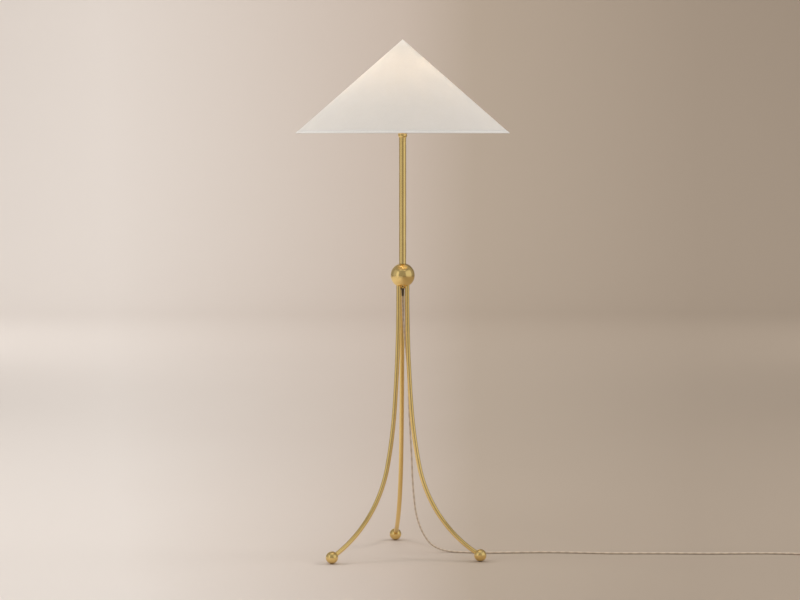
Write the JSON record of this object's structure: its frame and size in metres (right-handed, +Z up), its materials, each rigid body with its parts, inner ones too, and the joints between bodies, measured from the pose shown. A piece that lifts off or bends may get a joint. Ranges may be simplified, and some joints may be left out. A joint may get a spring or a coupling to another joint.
{
  "type": "tripod floor lamp",
  "caption": "Floor lamp with a wide cone fabric shade on a slim stem above a ball hub, and three curved rod legs ending in ball feet; its mains cord lies on the floor.",
  "frame": {"origin": "on the floor, on the axis of the stem and the shade", "axes": "+Z up along the stem; +Y over the rear leg; the front legs point 30 degrees to the front of -X and +X; the switch knob faces +X"},
  "size_m": [1.7464, 0.66, 1.6],
  "materials": {
    "polished_brass": "polished, clear lacquer",
    "zinc_steel": "zinc plated",
    "felt": "pressed felt",
    "holder_brass": "stamped, lacquered",
    "black_phenolic": "moulded phenolic",
    "insulating_card": "fibre card",
    "wire_insulation": "PVC",
    "woven_cord": "braided textile sleeve over a two-core lead",
    "cord_fittings": "moulded",
    "plug_contacts": "stamped",
    "frosted_glass": "frosted inside",
    "bulb_metal": "rolled thread",
    "linen": "plain woven linen, laminated",
    "linen_hem": "bias-cut linen tape",
    "shade_backing": "white laminate",
    "white_wire": "white powder coat"
  },
  "bodies": {
    "stand": {"centre_contact": "holder_brass", "cord": "woven_cord", "cord_coil": "woven_cord", "cord_tie": "cord_fittings", "foot_ball_left": "polished_brass", "foot_ball_rear": "polished_brass", "foot_ball_right": "polished_brass", "foot_glides": "felt", "holder_cap": "holder_brass", "holder_core": "black_phenolic", "holder_lining": "insulating_card", "holder_lock_nut": "zinc_steel", "holder_shell": "holder_brass", "hub_bottom_nut": "polished_brass", "hub_lock_nuts": "zinc_steel", "hub_plate": "zinc_steel", "hub_shell_lower": "polished_brass", "hub_shell_upper": "polished_brass", "inner_cord": "woven_cord", "lamp_pipe": "zinc_steel", "lead_wires": "wire_insulation", "leg_left": "polished_brass", "leg_nut_left": "zinc_steel", "leg_nut_rear": "zinc_steel", "leg_nut_right": "zinc_steel", "leg_rear": "polished_brass", "leg_right": "polished_brass", "leg_washers": "zinc_steel", "plug_blades": "plug_contacts", "plug_body": "cord_fittings", "screw_shell": "holder_brass", "stem_collar": "polished_brass", "stem_lower_plug": "zinc_steel", "stem_tube": "polished_brass", "strain_relief": "cord_fittings", "terminal_screws": "zinc_steel"},
    "shade": {"shade_fabric": "linen", "shade_liner": "shade_backing", "rim_hem": "linen_hem", "rim_wire": "white_wire", "fitter_ring": "white_wire", "upper_ring": "white_wire", "spider_arms": "white_wire"},
    "shade_nut": {"fitter_nut": "holder_brass"},
    "switch": {"switch_shaft": "holder_brass", "switch_knob": "black_phenolic"},
    "bulb": {"bulb_glass": "frosted_glass", "bulb_cap": "bulb_metal", "bulb_contact": "bulb_metal"}
  },
  "joints": [
    {"name": "shade_turn", "type": "hinge", "parent": "stand", "child": "shade", "pos_m": [0, 0, 1.3532], "axis": [0, 0, 1], "continuous": true},
    {"name": "shade_nut_turn", "type": "hinge", "parent": "stand", "child": "shade_nut", "pos_m": [0, 0, 1.3577], "axis": [0, 0, 1], "continuous": true},
    {"name": "switch_turn", "type": "hinge", "parent": "stand", "child": "switch", "pos_m": [0, 0, 1.34], "axis": [1, 0, 0], "continuous": true},
    {"name": "bulb_out", "type": "slide", "parent": "stand", "child": "bulb", "axis": [0, 0, 1], "range_m": [0, 0.03]}
  ]
}
